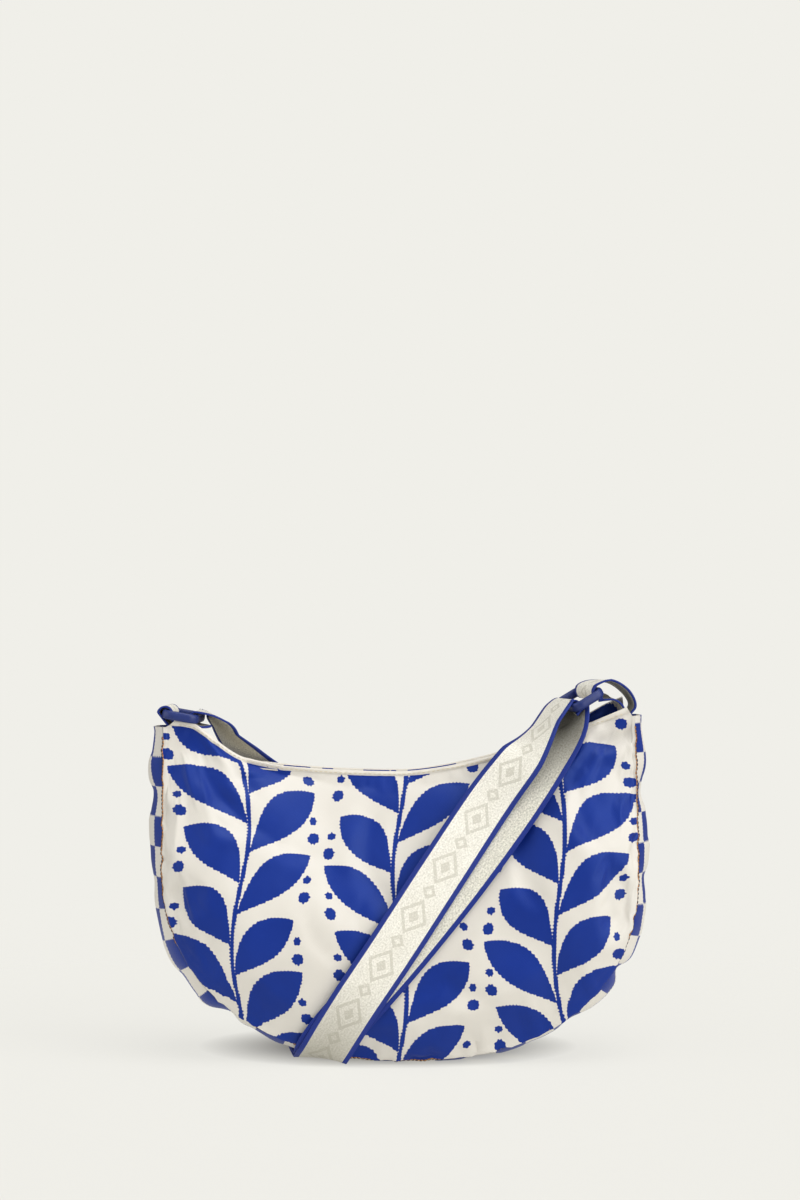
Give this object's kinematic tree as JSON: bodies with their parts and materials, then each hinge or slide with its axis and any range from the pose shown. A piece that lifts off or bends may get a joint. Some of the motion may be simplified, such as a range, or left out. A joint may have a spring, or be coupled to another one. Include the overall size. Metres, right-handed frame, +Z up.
{
  "type": "shoulder bag",
  "caption": "Soft crescent cloth shoulder bag, zipped along its dipped mouth, with a checked gusset and a wide webbing strap wrapped round it from ring to ring.",
  "frame": {"origin": "on the floor, under the middle of the bag's base", "axes": "+X along the bag from the left horn to the right one, +Y towards its back, +Z up"},
  "size_m": [0.3873, 0.1289, 0.2931],
  "materials": {
    "printed_cloth": "satin twill, blue print on cream",
    "checked_cloth": "satin twill, blue and cream checks",
    "zip_tape": "woven tape",
    "zip_metal": "polished",
    "ring_enamel": "satin enamel",
    "webbing": "woven with a metallic thread, blue selvages"
  },
  "bodies": {
    "root": {"front_panel": "printed_cloth", "back_panel": "printed_cloth", "gusset": "checked_cloth", "zip_tape_front": "zip_tape", "zip_tape_back": "zip_tape", "zip_chain": "zip_metal", "zip_slider": "zip_metal", "ring_left": "ring_enamel", "ring_right": "ring_enamel", "tab_left": "webbing", "tab_right": "webbing", "strap": "webbing", "strap_slide": "ring_enamel"}
  },
  "joints": []
}
